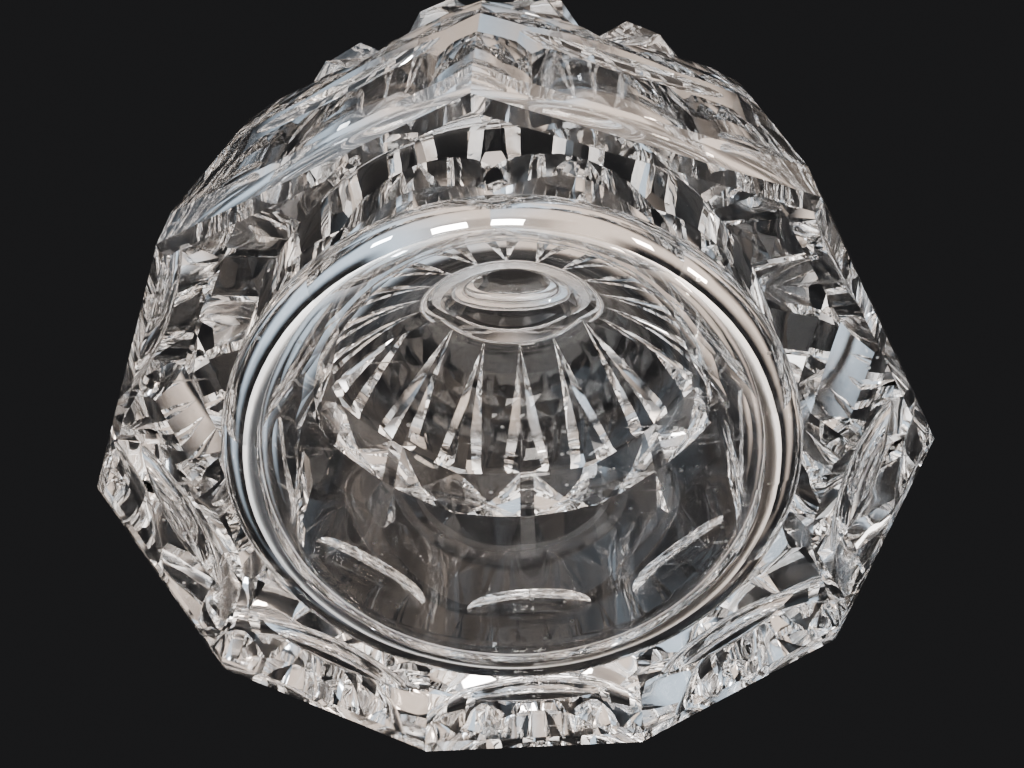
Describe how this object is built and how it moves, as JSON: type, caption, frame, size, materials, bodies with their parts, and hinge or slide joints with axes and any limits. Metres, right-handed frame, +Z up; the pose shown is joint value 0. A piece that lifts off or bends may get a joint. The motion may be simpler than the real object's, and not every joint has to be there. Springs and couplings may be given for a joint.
{
  "type": "cut crystal decanter",
  "caption": "Heavy clear crystal decanter, flat-sided and cut with olives, diamonds and shoulder mitres, with a ground stopper that lifts out of its neck.",
  "frame": {"origin": "centre of the flat underside of the foot, on the decanter's axis", "axes": "+Z up along the axis from the foot to the neck and the stopper; -Y towards one corner of the flat-sided foot"},
  "size_m": [0.113, 0.1127, 0.191],
  "materials": {
    "cut_crystal": "clear polished lead crystal with bright cut facets",
    "stopper_crystal": "clear polished lead crystal with a finely ground plug"
  },
  "bodies": {
    "body": {"decanter_body": "cut_crystal"},
    "stopper": {"stopper": "stopper_crystal"}
  },
  "joints": [
    {"name": "stopper_lift", "type": "slide", "parent": "body", "child": "stopper", "axis": [0, 0, 1], "range_m": [0, 0.04]}
  ]
}
